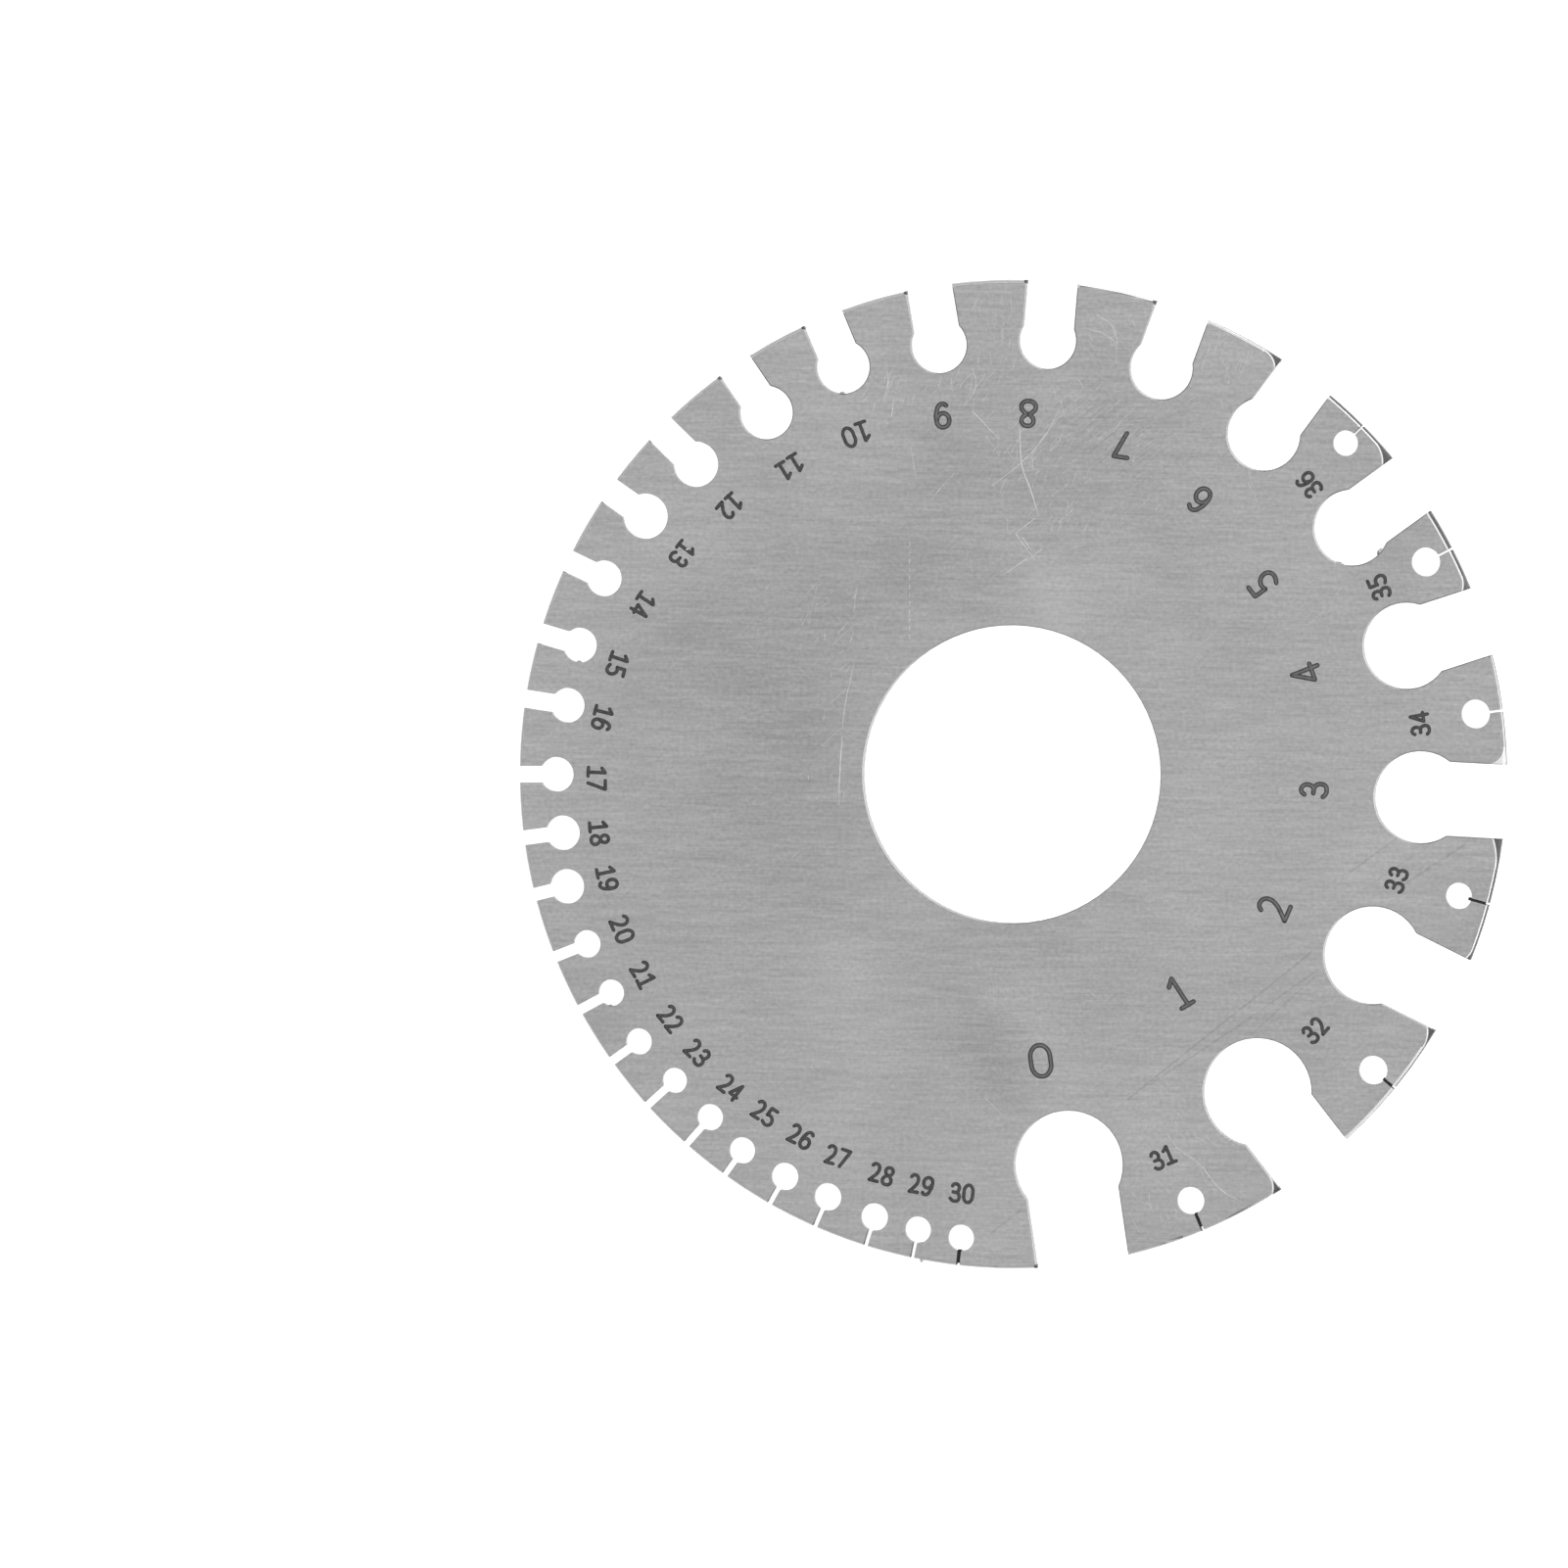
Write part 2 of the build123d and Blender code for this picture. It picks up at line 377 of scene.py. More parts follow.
def draw_arc(centre, radius, tip, start, end, bright_tone, beyond_tone):
    """Lays an arc's painted highlight, and the painted tone beyond it, over the steel. Start and end are in
    degrees.
    """
    middle = radians((start + end) / 2)
    sockets = {
        "Point": flat_point,
        "Centre": centre,
        "Towards": (cos(middle), sin(middle), 0),
        "Radius": radius,
        "Tip": tip,
        "Sector": cos(radians(abs(end - start) / 2)),
    }
    arc = add_node(tree, "ShaderNodeGroup", sockets, node_tree=arc_group).outputs
    beyond = calculate(tree, "MULTIPLY", arc["Beyond"], above_wall)
    line = calculate(tree, "MULTIPLY", arc["Line"], above_wall)
    return mix(tree, line, mix(tree, beyond, tone, beyond_tone), bright_tone)


for start, end, radius, *tones in rim_arcs:
    tone = draw_arc((0, 0, 0), radius, radius + rim_reach, start, end, *tones)
for touch, side, furthest, radius, turned_through, *tones in corner_arcs:
    centre = Vector((cos(radians(touch)), sin(radians(touch)), 0)) * (furthest - radius)
    tone = draw_arc(centre, radius, radius + corner_reach, touch, touch + side * turned_through, *tones)
print("arcs along the rim:", len(rim_arcs), "at corners:", len(corner_arcs))

# %% [markdown]
# ## A smooth roll
# The rolled edge of the rim is only 0.3 mm wide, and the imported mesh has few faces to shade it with,
# so its bright line would break up. The roll is part of a circle, so the way that it looks can be
# worked out at each point: level at the rim, straight up where the face begins. The shader gets that
# direction there, and the mesh's own everywhere else.

# %% The direction of the roll
roll_width = 0.3
sideways = remap(tree, reach, plate_radius / mm - roll_width, plate_radius / mm, 0.0, 1.0)
sideways_squared = calculate(tree, "MULTIPLY", sideways, sideways)
upwards = calculate(tree, "SQRT", calculate(tree, "SUBTRACT", 1.0, sideways_squared))
radial = vector_calculate(tree, "NORMALIZE", flat_point)
leaning = add_node(tree, "ShaderNodeVectorMath", {0: radial, "Scale": sideways}, operation="SCALE")
rising = add_node(tree, "ShaderNodeCombineXYZ", {"Z": upwards}).outputs[0]
roll_direction = vector_calculate(tree, "ADD", leaning.outputs[0], rising)
to_world = {"vector_type": "NORMAL", "convert_from": "OBJECT", "convert_to": "WORLD"}
roll_normal = add_node(tree, "ShaderNodeVectorTransform", {0: roll_direction}, **to_world).outputs[0]
mesh_normal = add_node(tree, "ShaderNodeNewGeometry").outputs["Normal"]
blend = add_node(tree, "ShaderNodeMix", {0: rolled, 4: mesh_normal, 5: roll_normal}, data_type="VECTOR")
print(f"roll: {roll_width} mm wide")

# %% The finished steel
steel_grey = 0.40
tree.links.new(calculate(tree, "MULTIPLY", tone, steel_grey), shader.inputs["Base Color"])
face_roughness = remap(tree, dashes, 0.3, 0.7, 0.38, 0.47)
tree.links.new(mix(tree, below_face, face_roughness, 0.5), shader.inputs["Roughness"])
bump = add_node(tree, "ShaderNodeBump", {"Height": dashes, "Strength": 0.25, "Distance": 0.004 * mm})
tree.links.new(blend.outputs[1], bump.inputs["Normal"])
tree.links.new(bump.outputs["Normal"], shader.inputs["Normal"])

plate.data.materials.clear()
plate.data.materials.append(steel)
print("plate finish:", steel.name)

# %% [markdown]
# ## Numerals: the strokes
# The numerals are engraved with a round cutter, so each is drawn as the path of that cutter: straight
# runs, smooth lines and closed loops. A path is written in a box that is one wide and one high, and
# stretched to the numeral's size. Type would be quicker, but its strokes have square ends and
# uneven widths, which a cutter doesn't make.

# %% The path of each digit
six = [
    (0.94, 0.91), (0.72, 1.0), (0.42, 0.97), (0.14, 0.74), (0.0, 0.36), (0.12, 0.09), (0.48, 0.0),
    (0.86, 0.09), (1.0, 0.31), (0.86, 0.52), (0.52, 0.60), (0.2, 0.52), (0.04, 0.36),
]
digit_paths = {
    "0": [
        ("loop", [
            (0.5, 1.0), (0.12, 0.87), (0.0, 0.5), (0.12, 0.13),
            (0.5, 0.0), (0.88, 0.13), (1.0, 0.5), (0.88, 0.87),
        ]),
    ],
    "1": [("straight", [(0.1, 0.81), (0.62, 1.0), (0.55, 0.0)]), ("straight", [(0.0, 0.03), (1.0, 0.0)])],
    "2": [
        ("smooth", [
            (0.0, 0.86), (0.18, 0.97), (0.42, 1.0), (0.72, 0.92),
            (0.84, 0.72), (0.74, 0.5), (0.36, 0.2), (0.05, 0.0),
        ]),
        ("straight", [(0.05, 0.0), (1.0, 0.03)]),
    ],
    "3": [
        ("smooth", [
            (0.12, 0.86), (0.32, 0.98), (0.62, 0.99), (0.88, 0.86),
            (0.88, 0.66), (0.66, 0.52), (0.25, 0.52),
        ]),
        ("smooth", [
            (0.66, 0.51), (0.92, 0.4), (1.0, 0.22), (0.86, 0.05),
            (0.52, 0.0), (0.24, 0.03), (0.0, 0.14),
        ]),
    ],
    "4": [("straight", [(0.76, 0.0), (0.66, 1.0), (0.0, 0.25), (1.0, 0.27)])],
    "5": [
        ("straight", [(0.88, 1.0), (0.1, 0.99), (0.1, 0.54)]),
        ("smooth", [
            (0.1, 0.54), (0.38, 0.58), (0.74, 0.52), (0.98, 0.32),
            (0.9, 0.1), (0.58, 0.0), (0.28, 0.02), (0.0, 0.09),
        ]),
    ],
    "6": [("smooth", six)],
    "7": [("straight", [(0.0, 1.0), (1.0, 1.0), (0.28, 0.0)])],
    "8": [
        ("loop", [
            (0.5, 1.0), (0.2, 0.94), (0.09, 0.76), (0.26, 0.6),
            (0.5, 0.53), (0.74, 0.6), (0.91, 0.76), (0.8, 0.94),
        ]),
        ("loop", [
            (0.5, 0.53), (0.18, 0.43), (0.0, 0.24), (0.15, 0.06),
            (0.5, 0.0), (0.85, 0.06), (1.0, 0.24), (0.82, 0.43),
        ]),
    ],
    "9": [("smooth", [(1 - x, 1 - y) for x, y in six])],
}
print(f"digits drawn: {len(digit_paths)}")

# %% [markdown]
# ## Numerals: from a path to a mesh
# A curve with a round bevel sweeps a tube along a path, which is the quickest way to an even stroke.
# Its ends and corners are open or pinched, so a ball of the same width goes on each, as the round
# cutter leaves them. Pressing the whole mesh almost flat turns the tubes into thin strokes that
# grow out of the face.

# %% Sweep a stroke
taper_start = 0.6


def sweep(paths, width, tail=None):
    """Sweeps the paths into a bmesh of round-ended tubes, or of tubes that taper to their tail."""
    curve = bpy.data.curves.new("path", "CURVE")
    curve.dimensions = "3D"
    curve.bevel_depth = width / 2
    curve.bevel_resolution = 3
    curve.resolution_u = 6
    curve.use_fill_caps = True
    balls = []
    for kind, points in paths:
        handle = "VECTOR" if kind == "straight" else "AUTO"
        knots = [(x, y, 0.0) for x, y in points]
        runs = list(zip(knots, knots[1:])) if kind == "straight" else [knots]
        if tail is None:
            balls += {"straight": knots, "smooth": [knots[0], knots[-1]], "loop": []}[kind]
        for run in runs:
            spline = curve.splines.new("BEZIER")
            spline.bezier_points.add(len(run) - 1)
            spline.use_cyclic_u = kind == "loop"
            for knot, place in zip(spline.bezier_points, run):
                knot.co = place
                knot.handle_left_type = knot.handle_right_type = handle
            if tail is not None:
                spline.bezier_points[0].radius = taper_start
                spline.bezier_points[-1].radius = tail
    holder = bpy.data.objects.new("path", curve)
    swept = bpy.data.meshes.new_from_object(holder)
    bpy.data.objects.remove(holder)
    bpy.data.curves.remove(curve)
    strokes = bmesh.new()
    strokes.from_mesh(swept)
    bpy.data.meshes.remove(swept)
    for place in balls:
        bmesh.ops.create_uvsphere(
            strokes, u_segments=14, v_segments=7, radius=width / 2, matrix=Matrix.Translation(place)
        )
    return strokes


# %% Set the digits of a number
def numeral_paths(text, digit_share, width, height):
    """Sets the digits of a number side by side, each with its share of the width, about the middle."""
    paths = []
    for index, digit in enumerate(text):
        shift = index * (1 - digit_share) - 0.5
        for kind, points in digit_paths[digit]:
            knots = [((x * digit_share + shift) * width, (y - 0.5) * height) for x, y in points]
            paths.append((kind, knots))
    return paths


# %% [markdown]
# ## Numerals: their painted shade
# A groove shows two dark edges and a lighter floor between them, paler where the groove is wide. The
# strokes stand just out of the face, so both are painted shade: the dark edges on the whole stroke,
# and the lighter floor on a second, narrower sweep on top of the first. A little noise keeps either
# from looking printed.

# %% Painted shade of the grooves
def engraved_finish(name, grey, spread):
    """A dull, dark painted shade whose tone wanders a little along the strokes."""
    material, nodes, principled = new_material(name, roughness=0.75, metallic=0.0)
    place = add_node(nodes, "ShaderNodeTexCoord").outputs["Object"]
    grey_along = remap(nodes, clouds(nodes, place, 2600), 0.3, 0.7, grey - spread, grey + spread)
    nodes.links.new(grey_along, principled.inputs["Base Color"])
    return material


# Painted shade: darkest on a groove's edges, lighter on the floor of a wide groove, and darker on the floor
# of a fine one.
groove_edge_shade = engraved_finish("groove_edge_shade", 0.055, 0.018)
groove_floor_shade = engraved_finish("groove_floor_shade", 0.15, 0.04)
small_groove_floor_shade = engraved_finish("small_groove_floor_shade", 0.075, 0.025)
print("engraved finishes:", groove_edge_shade.name, groove_floor_shade.name, small_groove_floor_shade.name)

# %% Where each numeral stands
two_digits = (2.2, 1.8)

# Gauge number: direction of its slot, x, y, turn, and width and height, in degrees and mm
numerals = {
    0: (278.3, 2.5, -24.6, 0, (2.1, 3.1)), 1: (307.8, 14.4, -18.7, -3, (1.6, 3.1)),
    2: (333.5, 22.6, -11.4, 0, (1.8, 3.0)), 3: (356.9, 26.0, -1.3, 0, (1.5, 2.6)),
    4: (18.1, 25.3, 8.7, 0, (1.85, 2.75)), 5: (36.0, 21.6, 16.4, 0, (1.65, 2.8)),
    6: (53.5, 16.2, 23.6, 0, (1.55, 2.55)), 7: (69.8, 9.5, 28.3, 12, (1.6, 2.5)),
    8: (85.3, 1.4, 31.0, 0, (1.65, 2.55)), 9: (99.7, -6.0, 30.8, 0, (1.5, 2.4)),
    10: (112.6, -13.4, 29.2, 0, (2.5, 1.95)), 11: (124.3, -19.1, 26.4, 0, (2.35, 1.8)),
    12: (135.7, -24.3, 23.0, 0, two_digits), 13: (145.0, -28.4, 18.9, 0, two_digits),
    14: (154.5, -31.8, 14.5, -6, two_digits), 15: (163.5, -34.0, 9.4, 0, two_digits),
    16: (171.3, -35.3, 4.8, -3, two_digits), 17: (180.1, -35.8, -0.4, 0, two_digits),
    18: (187.5, -35.6, -5.1, 0, two_digits), 19: (194.2, -34.9, -9.0, 0, two_digits),
    20: (201.8, -33.6, -13.4, 0, (2.35, 1.8)), 21: (208.6, -31.8, -17.3, 0, two_digits),
    22: (215.6, -29.4, -21.1, 0, two_digits), 23: (222.2, -27.1, -24.0, 0, two_digits),
    24: (228.6, -24.2, -27.0, 0, two_digits), 25: (234.3, -21.3, -29.2, 0, two_digits),
    26: (240.5, -18.2, -31.2, 0, two_digits), 27: (246.4, -15.0, -32.9, 5, two_digits),
    28: (252.7, -11.2, -34.4, 0, two_digits), 29: (258.3, -7.8, -35.3, 0, two_digits),
    30: (263.7, -4.3, -36.0, 0, two_digits), 31: (292.8, 13.0, -32.9, 3, two_digits),
    32: (320.8, 26.1, -21.9, -5, two_digits), 33: (344.9, 33.1, -9.0, -3, two_digits),
    34: (7.5, 35.1, 4.4, 0, two_digits), 35: (27.2, 31.6, 16.1, -6, two_digits),
    36: (44.8, 25.6, 24.9, -6, two_digits),
}
wide_stroke, fine_stroke = 0.41 * mm, 0.31 * mm
wide_floor, fine_floor = 0.19 * mm, 0.11 * mm
edge_lift, floor_lift = 0.010 * mm, 0.020 * mm
pair_digit_share = 0.40
print(f"strokes: {wide_stroke / mm:.2f} mm wide on single digits, {fine_stroke / mm:.2f} mm on pairs")

# %% Helpers that finish a piece
def press_flat(strokes, thickness, width, level):
    """Presses round strokes to a thickness, and lifts them to a level."""
    bmesh.ops.scale(strokes, vec=(1, 1, thickness / width), verts=strokes.verts)
    bmesh.ops.translate(strokes, vec=(0, 0, level), verts=strokes.verts)


def finish_piece(strokes, name, materials):
    """Makes a bmesh a named piece that rides on the plate."""
    bmesh.ops.recalc_face_normals(strokes, faces=strokes.faces)
    for face in strokes.faces:
        face.smooth = True
    mesh = bpy.data.meshes.new(name)
    strokes.to_mesh(mesh)
    strokes.free()
    for material in materials:
        mesh.materials.append(material)
    piece = bpy.data.objects.new(name, mesh)
    bpy.context.collection.objects.link(piece)
    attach(piece, "root")


def join(strokes, more, material_index):
    """Adds a second bmesh to the first, with the number of its material."""
    for face in more.faces:
        face.material_index = material_index
    carrier = bpy.data.meshes.new("carrier")
    more.to_mesh(carrier)
    more.free()
    strokes.from_mesh(carrier)
    bpy.data.meshes.remove(carrier)


# %% Make the numerals
for number, (direction, x, y, turn, (width, height)) in numerals.items():
    text = str(number)
    single = len(text) == 1
    stroke, floor_width = (wide_stroke, wide_floor) if single else (fine_stroke, fine_floor)
    digit_share = 1.0 if single else pair_digit_share
    paths = numeral_paths(text, digit_share, width * mm - stroke, height * mm - stroke)
    strokes = sweep(paths, stroke)
    press_flat(strokes, 2 * edge_lift, stroke, 0)
    groove_floor = sweep(paths, floor_width)
    press_flat(groove_floor, floor_lift - edge_lift, floor_width, edge_lift)
    join(strokes, groove_floor, 1)
    # The top of a numeral points to the middle of the plate
    upright = Matrix.Rotation(radians(direction + 90 + turn), 4, "Z")
    place = Matrix.Translation((x * mm, y * mm, face_height)) @ upright
    bmesh.ops.transform(strokes, matrix=place, verts=strokes.verts)
    groove_floor_painted = groove_floor_shade if single else small_groove_floor_shade
    finish_piece(strokes, f"numeral_{number:02d}", [groove_edge_shade, groove_floor_painted])
print(f"numerals: {len(numerals)}")

# %% [markdown]
# ## Fine scratches
# A scratch is a furrow with a bright burr along it, and from above the burr is all that shows. So a
# scratch is swept as the numerals are, but far thinner, tapered to its tail and pressed into a sliver
# of bright metal that hardly stands out of the face. The soft line of the shader could draw it too,
# but a shader has room for a few dozen such lines, and here there are more.

# %% Where the scratches lie: half width in mm, strength, and the places in mm that each runs through
scratches = {
    "between gauges 8 and 7": [
        (0.07, 0.42, [(-3.4, 31.2), (-1.1, 28.8)]),
        (0.05, 0.20, [(-2.2, 29.0), (-1.1, 27.5)]),
        (0.06, 0.32, [(0.7, 29.8), (0.9, 26.4), (1.6, 24.5), (2.3, 22.2)]),
        (0.06, 0.26, [(-1.7, 24.8), (0.6, 26.6), (2.8, 29.0), (4.4, 32.1)]),
        (0.06, 0.24, [(4.2, 32.1), (4.6, 30.6)]),
        (0.05, 0.18, [(1.8, 28.3), (2.4, 27.0)]),
        (0.06, 0.22, [(-0.3, 27.7), (0.4, 26.7)]),
        (0.05, 0.16, [(9.3, 31.0), (8.2, 30.0)]),
    ],
    "the star above the centre hole": [
        (0.07, 0.38, [(2.0, 22.0), (0.3, 20.7), (2.0, 18.4)]),
        (0.07, 0.40, [(0.9, 20.4), (1.7, 19.2)]),
        (0.07, 0.34, [(1.4, 18.6), (-0.8, 17.1)]),
        (0.07, 0.34, [(2.6, 19.4), (1.3, 18.3)]),
        (0.06, 0.28, [(2.3, 18.4), (2.4, 18.8)]),
        (0.05, 0.20, [(3.5, 22.2), (2.3, 20.6)]),
        (0.06, 0.30, [(5.2, 22.7), (4.1, 21.7)]),
        (0.05, 0.24, [(8.0, 22.0), (9.1, 20.0)]),
        (0.05, 0.16, [(-0.4, 22.0), (-0.3, 18.9)]),
        (0.05, 0.14, [(-3.6, 18.6), (-3.4, 17.5)]),
    ],
    "round gauges 9 and 10": [
        (0.06, 0.24, [(-3.4, 34.9), (-3.1, 33.3), (-4.2, 31.5)]),
        (0.05, 0.22, [(-2.6, 33.9), (-4.1, 31.9)]),
        (0.05, 0.18, [(-2.0, 34.2), (-3.0, 32.5)]),
        (0.06, 0.24, [(-10.7, 34.6), (-10.7, 33.5), (-11.2, 31.7)]),
        (0.05, 0.20, [(-10.2, 34.0), (-11.0, 31.9)]),
        (0.05, 0.16, [(-9.6, 34.1), (-10.2, 32.2)]),
        (0.05, 0.18, [(-8.4, 32.7), (-8.8, 31.0)]),
        (0.06, 0.22, [(-8.7, 28.1), (-8.3, 25.6)]),
        (0.05, 0.16, [(-4.9, 25.9), (-6.2, 24.5), (-7.0, 23.6)]),
        (0.05, 0.14, [(-2.6, 40.7), (-2.8, 39.5)]),
        (0.04, 0.12, [(-1.1, 37.5), (0.6, 38.8)]),
    ],
    "on the tabs of gauges 7 and 6": [
        (0.06, 0.26, [(6.2, 38.4), (8.7, 37.3), (9.0, 36.6)]),
        (0.06, 0.26, [(7.3, 39.5), (8.7, 38.4), (9.0, 35.3)]),
        (0.05, 0.22, [(17.9, 37.7), (17.4, 36.1)]),
        (0.05, 0.20, [(18.7, 37.8), (17.7, 36.7)]),
        (0.05, 0.20, [(20.3, 25.2), (20.7, 24.1)]),
    ],
    "left of the centre hole": [
        (0.06, 0.40, [(-14.6, 3.3), (-14.8, 0.5), (-14.9, -2.7)]),
        (0.05, 0.26, [(-14.6, 3.9), (-14.3, 6.3), (-13.5, 9.8)]),
        (0.05, 0.24, [(-15.6, 6.1), (-14.3, 7.3)]),
        (0.05, 0.24, [(-16.4, 2.4), (-14.7, 4.0)]),
        (0.05, 0.18, [(-16.8, 16.1), (-17.5, 12.9)]),
        (0.06, 0.20, [(-13.4, 16.0), (-13.6, 14.0)]),
        (0.05, 0.24, [(-15.3, 11.3), (-13.2, 13.1)]),
        (0.05, 0.16, [(-22.9, 11.3), (-21.6, 10.0)]),
    ],
    "round gauges 0 and 1": [
        (0.06, 0.24, [(6.5, -18.4), (7.2, -19.1)]),
        (0.05, 0.18, [(3.3, -22.0), (6.4, -22.1)]),
        (0.05, 0.18, [(9.3, -22.3), (10.8, -22.0)]),
        (0.06, 0.24, [(14.3, -32.1), (16.0, -33.3), (18.1, -35.7), (20.0, -36.8)]),
        (0.06, 0.22, [(13.4, -30.9), (14.3, -32.1)]),
        (0.05, 0.20, [(15.3, -30.3), (15.9, -31.2)]),
        (0.05, 0.18, [(15.7, -30.1), (16.6, -30.9)]),
        (0.05, 0.20, [(14.3, -29.1), (14.8, -29.7)]),
        (0.05, 0.22, [(12.6, -34.9), (14.0, -36.3)]),
        (0.06, 0.20, [(-2.4, -27.7), (-0.4, -29.7)]),
    ],
}
dot_pitch, tick_pitch = 0.72, 0.31
scratches["a row of dots above the centre hole"] = [
    (0.06, 0.34, [(-8.8, 19.9 - dot_pitch * step), (-8.8, 19.5 - dot_pitch * step)])
    for step in range(12)
]
scratches["a row of ticks below the centre hole"] = [
    (0.04, 0.16, [(-2.2 + tick_pitch * step, -18.3), (-2.2 + tick_pitch * step, -19.1)])
    for step in range(8)
]
print("scratches placed by eye:", sum(len(rows) for rows in scratches.values()))

# %% A haze of faint scratches
def on_flat(x, y):
    """Looks straight down at a place in mm, and tells whether the flat face is there."""
    hit, place, _, _ = plate.ray_cast((x * mm, y * mm, face_height + mm), (0, 0, -1))
    return hit and face_height - place.z < 0.001 * mm


# Middle of the patch, how far it spreads, how many, and their bearing in degrees
hazes = [
    ((-4.5, 33.2), (1.4, 1.3), 30, 62), ((2.5, 28.6), (2.4, 2.0), 46, 55),
    ((10.0, 30.6), (2.6, 1.4), 34, 38), ((8.6, 37.4), (1.5, 1.6), 20, -50),
    ((19.0, 36.4), (1.7, 1.2), 40, 60), ((-11.0, 33.2), (1.2, 1.4), 20, 68),
    ((5.6, 23.6), (3.0, 2.4), 34, 60), ((-1.8, 38.8), (1.8, 1.8), 34, 72),
    ((-15.2, 2.0), (1.6, 7.0), 18, 70), ((21.0, 27.5), (2.4, 2.4), 16, -60),
    ((15.5, -31.5), (2.2, 1.8), 24, -48), ((-14.5, 13.5), (2.8, 2.4), 14, 55),
    ((1.0, 26.6), (1.4, 1.8), 22, 62), ((12.6, -37.4), (1.6, 1.2), 16, -60),
    ((28.0, 12.0), (5.0, 4.0), 18, 50),
]
haze_half_width, bearing_spread = 0.055, 16
shortest, longest = 0.2, 0.75
weakest, strongest = 0.10, 0.30

# %% Draw the haze
draw = random.Random(11)
haze = scratches["in faint hazes"] = []
for (middle_x, middle_y), (spread_x, spread_y), count, lean in hazes:
    for _ in range(count):
        x, y = draw.gauss(middle_x, spread_x), draw.gauss(middle_y, spread_y)
        turn = radians(draw.gauss(lean, bearing_spread))
        half_length = draw.uniform(shortest, longest)
        run_x, run_y = half_length * cos(turn), half_length * sin(turn)
        places = [(x - run_x, y - run_y), (x + run_x, y + run_y)]
        strength = draw.uniform(weakest, strongest)
        if all(on_flat(*place) for place in [*places, (x, y)]):
            haze.append((haze_half_width, strength, places))
print("haze:", len(haze), "scratches")

# %% Finishes of torn steel
def scratch_finish(name, brightness):
    """Torn steel, brighter than the face, whose tone comes and goes along the scratch."""
    material, nodes, principled = new_material(name, roughness=0.42, metallic=1.0)
    place = add_node(nodes, "ShaderNodeTexCoord").outputs["Object"]
    low, high = steel_grey * (brightness - 0.18), steel_grey * (brightness + 0.12)
    grey_along = remap(nodes, clouds(nodes, place, 1500), 0.35, 0.65, low, high)
    nodes.links.new(grey_along, principled.inputs["Base Color"])
    return material


# From which strength each finish is used
scratch_finishes = {
    0.30: scratch_finish("bright_scratch", 1.62),
    0.19: scratch_finish("plain_scratch", 1.42),
    0.0: scratch_finish("faint_scratch", 1.30),
}
print("scratch finishes:", [finish.name for finish in scratch_finishes.values()])

# %% Make the scratches
scratch_lift, scratch_tail = 0.003 * mm, 0.3
leaving = []
for where, rows in scratches.items():
    slivers = bmesh.new()
    path_kind = "straight" if "star" in where else "smooth"
    for half_width, strength, places in rows:
        width = 2 * half_width * mm
        knots = [(x * mm, y * mm) for x, y in places]
        sliver = sweep([(path_kind, knots)], width, scratch_tail)
        press_flat(sliver, 2 * scratch_lift, width, face_height)
        finish_number = [strength >= limit for limit in scratch_finishes].index(True)
        join(slivers, sliver, finish_number)
        if not all(on_flat(*place) for place in places):
            leaving.append(where)
    finish_piece(slivers, "scratches_" + where.replace(" ", "_"), scratch_finishes.values())
print("scratches:", {where: len(rows) for where, rows in scratches.items()})
print("scratches that leave the face:", leaving)

# %% [markdown]
# ## Painted shade in the finest slots
# Four of the narrowest slots are dark from the relief hole almost to the rim, with the shade inside
# them. A dark plug paints that shade: a bar as wide as its slot, cut into short lengths and pushed
# about by a noise, so that its top and its ends are ragged. It lies inside the slot, not on the face.

# %% Painted slot shade: its colour and its runs
slot_shade, slot_shade_tree, slot_shade_shader = new_material("painted_slot_shade", roughness=0.9, metallic=0.0)
slot_shade_place = add_node(slot_shade_tree, "ShaderNodeTexCoord").outputs["Object"]
# Near black: painted shade.
slot_shade_tone = remap(slot_shade_tree, clouds(slot_shade_tree, slot_shade_place, 5200), 0.3, 0.7, 0.012, 0.04)
slot_shade_tree.links.new(slot_shade_tone, slot_shade_shader.inputs["Base Color"])

# Gauge: direction of the slot in degrees, its width in mm, and how far from the axis the painted
# shade starts and ends, in mm
slot_shade_runs = {
    30: (263.7, 0.31, 41.15, 42.25), 31: (292.8, 0.27, 40.85, 42.1),
    32: (320.8, 0.25, 41.25, 42.2), 33: (344.9, 0.23, 40.7, 42.15),
}
slot_shade_low, slot_shade_high = 0.4 * mm, 1.88 * mm
ragged, crumb, slot_share = 0.09 * mm, 0.3 * mm, 0.96

# %% Make the plugs of painted shade
for gauge, (direction, width, near, far) in slot_shade_runs.items():
    plug = bmesh.new()
    bmesh.ops.create_cube(plug, size=1.0)
    bmesh.ops.subdivide_edges(plug, edges=plug.edges, cuts=5, use_grid_fill=True)
    plug_size = ((far - near) * mm, slot_share * width * mm, slot_shade_high - slot_shade_low)
    plug_middle = ((near + far) / 2 * mm, 0, (slot_shade_low + slot_shade_high) / 2)
    bmesh.ops.scale(plug, vec=plug_size, verts=plug.verts)
    bmesh.ops.translate(plug, vec=plug_middle, verts=plug.verts)
    for vert in plug.verts:
        push = noise.noise(vert.co / crumb + Vector((gauge, 0, 0)))
        vert.co.x += push * ragged
        vert.co.z += push * ragged / 2
    bmesh.ops.rotate(plug, matrix=Matrix.Rotation(radians(direction), 3, "Z"), verts=plug.verts)
    finish_piece(plug, f"grime_{gauge}", [slot_shade])
print(f"slots with grime: {len(slot_shade_runs)}")

# %% [markdown]
# ## Burrs and chips
# The cutter left a few specks of torn steel: at the edges of some relief holes, one on the rim, and
# two bright chips on numerals. Each is a small ball, squashed to a grain and half sunk in the edge
# that it hangs on. A noise breaks up its round shape.

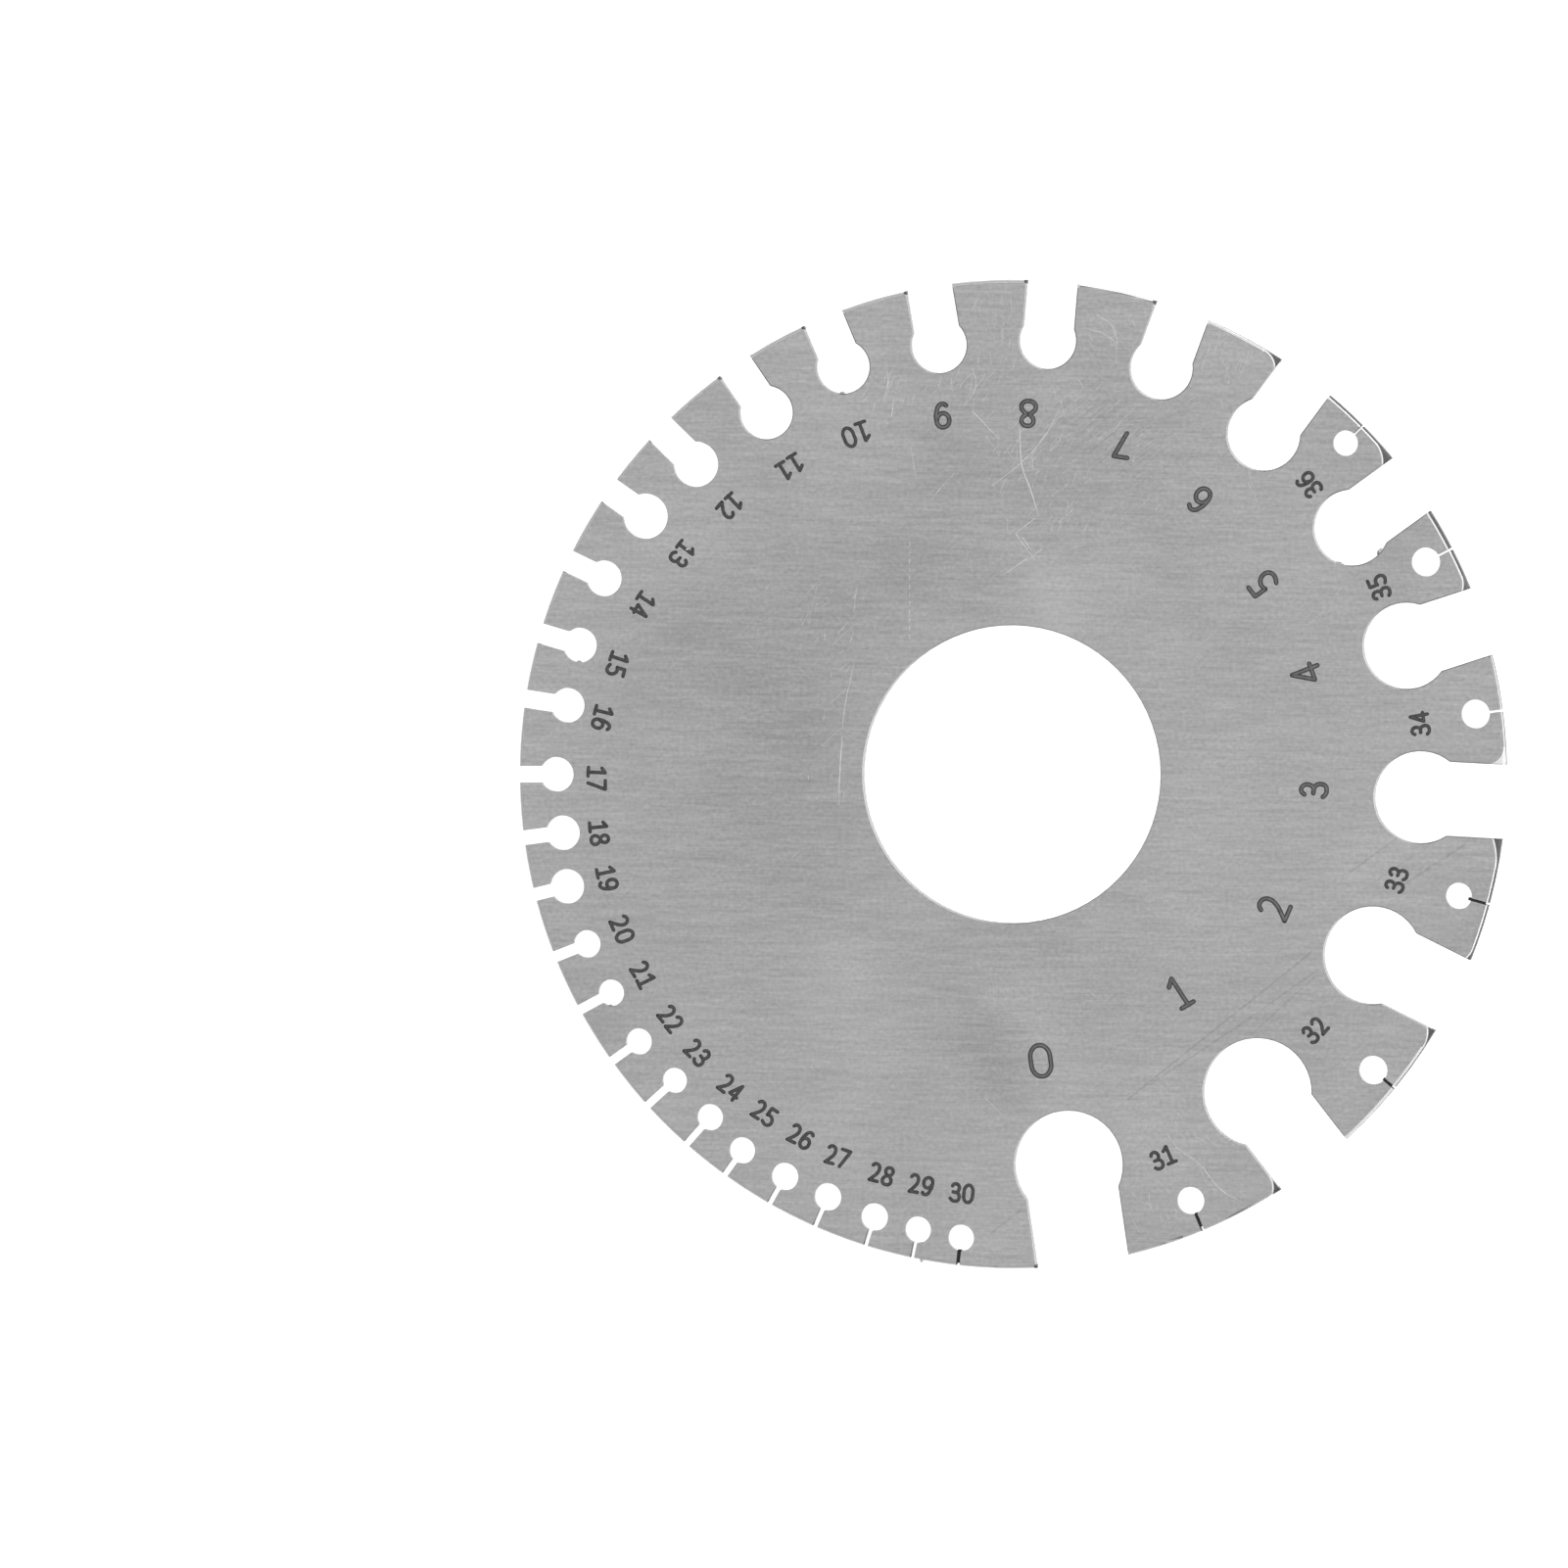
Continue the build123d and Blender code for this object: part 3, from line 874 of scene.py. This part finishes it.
# %% Where the burrs and chips are
# Name: x, y, length and width in mm, turn in degrees, and how far its middle lies below the face in mm
burrs = {
    "burr_5_side": (31.64, 19.18, 0.62, 0.34, 50, 0.10),
    "burr_5_foot": (28.2, 18.14, 0.66, 0.30, -15, 0.10),
    "burr_15": (-37.3, 9.6, 0.42, 0.24, 0, 0.10),
    "burr_29": (-7.75, -41.8, 0.34, 0.3, 30, 0.14),
    "burr_10": (-14.6, 32.74, 0.46, 0.22, 5, 0.10),
    "burr_21": (-34.6, -19.96, 0.34, 0.2, 0, 0.10),
    "chip_13": (-28.0, 19.3, 0.24, 0.2, 0, -0.01),
    "chip_9": (-5.4, 31.8, 0.2, 0.14, 0, -0.01),
}
burr_thickness, chip_thickness = 0.16 * mm, 0.04 * mm
lumps, lump_size = 0.35, 1 / 4

# %% Make the burrs and chips
chip_steel, chip_tree, chip_shader = new_material("bare_chip", roughness=0.3, metallic=1.0)
chip_place = add_node(chip_tree, "ShaderNodeTexCoord").outputs["Object"]
chip_tone = remap(chip_tree, clouds(chip_tree, chip_place, 6000), 0.3, 0.7, 0.45, 0.62)
chip_tree.links.new(chip_tone, chip_shader.inputs["Base Color"])
for name, (x, y, length, width, turn, sink) in burrs.items():
    grains = bmesh.new()
    bmesh.ops.create_icosphere(grains, subdivisions=3, radius=0.5)
    for vert in grains.verts:
        vert.co *= 1 + lumps * noise.noise(vert.co / lump_size + Vector((x, y, 0)))
    thickness = burr_thickness if sink > 0 else chip_thickness
    bmesh.ops.scale(grains, vec=(length * mm, width * mm, thickness), verts=grains.verts)
    bmesh.ops.rotate(grains, matrix=Matrix.Rotation(radians(turn), 3, "Z"), verts=grains.verts)
    bmesh.ops.translate(grains, vec=(x * mm, y * mm, face_height - sink * mm), verts=grains.verts)
    finish_piece(grains, name, [chip_steel])
print(f"burrs and chips: {len(burrs)}")

# %% [markdown]
# ## The floor
# The plate lies on a plain white floor. The floor scatters light as paper does, and for rays that
# come straight from the camera, or by way of the steel, it also glows a little, which lifts it to
# white without putting more light on the plate. Its shadow stays, because only the scattered part
# carries it.

# %% Floor
floor_half_side, floor_gap = 1.5, 0.02 * mm
floor_mesh = bpy.data.meshes.new("floor")
ground = bmesh.new()
bmesh.ops.create_grid(ground, x_segments=1, y_segments=1, size=floor_half_side)
bmesh.ops.translate(ground, vec=(0, 0, -floor_gap), verts=ground.verts)
ground.to_mesh(floor_mesh)
ground.free()
floor = bpy.data.objects.new("floor", floor_mesh)
bpy.context.collection.objects.link(floor)

# %% Paper for the floor
paper_grey, paper_glow = 0.86, 0.85
paper, paper_tree, paper_shader = new_material("floor_paper", roughness=1.0, metallic=0.0)
paper_shader.inputs["Base Color"].default_value = (paper_grey, paper_grey, paper_grey, 1)
paper_shader.inputs["Specular IOR Level"].default_value = 0.0
paper_shader.inputs["Emission Color"].default_value = (1, 1, 1, 1)
ray = add_node(paper_tree, "ShaderNodeLightPath").outputs
seen = calculate(paper_tree, "MAXIMUM", ray["Is Camera Ray"], ray["Is Glossy Ray"])
seen = calculate(paper_tree, "MAXIMUM", seen, ray["Is Transmission Ray"])
glow = calculate(paper_tree, "MULTIPLY", seen, paper_glow)
paper_tree.links.new(glow, paper_shader.inputs["Emission Strength"])
floor_mesh.materials.append(paper)
print(f"floor: {2 * floor_half_side:.0f} m square")

# %% [markdown]
# ## Light
# Flat steel is a blurred mirror: its tone is the tone of what hangs above it. A large soft lamp and
# a pale world around it give the even grey of the face. A long narrow lamp low at the right
# brightens the lips and walls that look that way, and hardly reaches the face.

# %% World and lamps
world_strength = 0.42
world = bpy.data.worlds.new("studio")
bpy.context.scene.world = world
world.use_nodes = True
world.node_tree.nodes["Background"].inputs["Color"].default_value = (1, 1, 1, 1)
world.node_tree.nodes["Background"].inputs["Strength"].default_value = world_strength


def soft_lamp(name, place, width, height, power):
    """A lamp with a rectangular face, turned to the plate. Sizes are in metres, power in watts."""
    lamp = bpy.data.lights.new(name, "AREA")
    lamp.shape = "RECTANGLE"
    lamp.size, lamp.size_y = width, height
    lamp.energy = power
    holder = bpy.data.objects.new(name, lamp)
    bpy.context.collection.objects.link(holder)
    holder.location = place
    holder.rotation_euler = (-Vector(place)).to_track_quat("-Z", "Y").to_euler()


soft_lamp("overhead", (-0.1, 0.15, 1.0), width=0.9, height=0.9, power=2.2)
soft_lamp("strip", (0.67, 0.18, 0.58), width=1.2, height=0.14, power=4.2)
print("lamps: 2")

# %% [markdown]
# ## Camera
# The picture looks straight down, from far away, and a little from the right, so that the walls at
# the right of the plate just show. A long lens keeps the slots' sides parallel. The camera stands
# on a line through the middle of the picture, which lies left of the plate.

# %% Camera
lens, sensor = 600.0, 36.0
picture_width = 134.77 * mm
tilt, bearing = radians(5.0), radians(15.0)
aim = Vector((-19.63 * mm, -0.86 * mm, face_height))
back = Vector((sin(tilt) * cos(bearing), sin(tilt) * sin(bearing), cos(tilt)))
right = Vector((0, 1, 0)).cross(back).normalized()
up = back.cross(right)
distance_away = picture_width * lens / sensor
camera_data = bpy.data.cameras.new("camera")
camera_data.lens, camera_data.sensor_width = lens, sensor
camera_data.sensor_fit = "HORIZONTAL"
camera = bpy.data.objects.new("camera", camera_data)
bpy.context.collection.objects.link(camera)
turned = Matrix((right, up, back)).transposed().to_4x4()
camera.matrix_world = Matrix.Translation(aim + back * distance_away) @ turned
bpy.context.scene.camera = camera
bpy.context.scene.view_settings.view_transform = "Standard"
print(f"camera: {distance_away:.2f} m away")
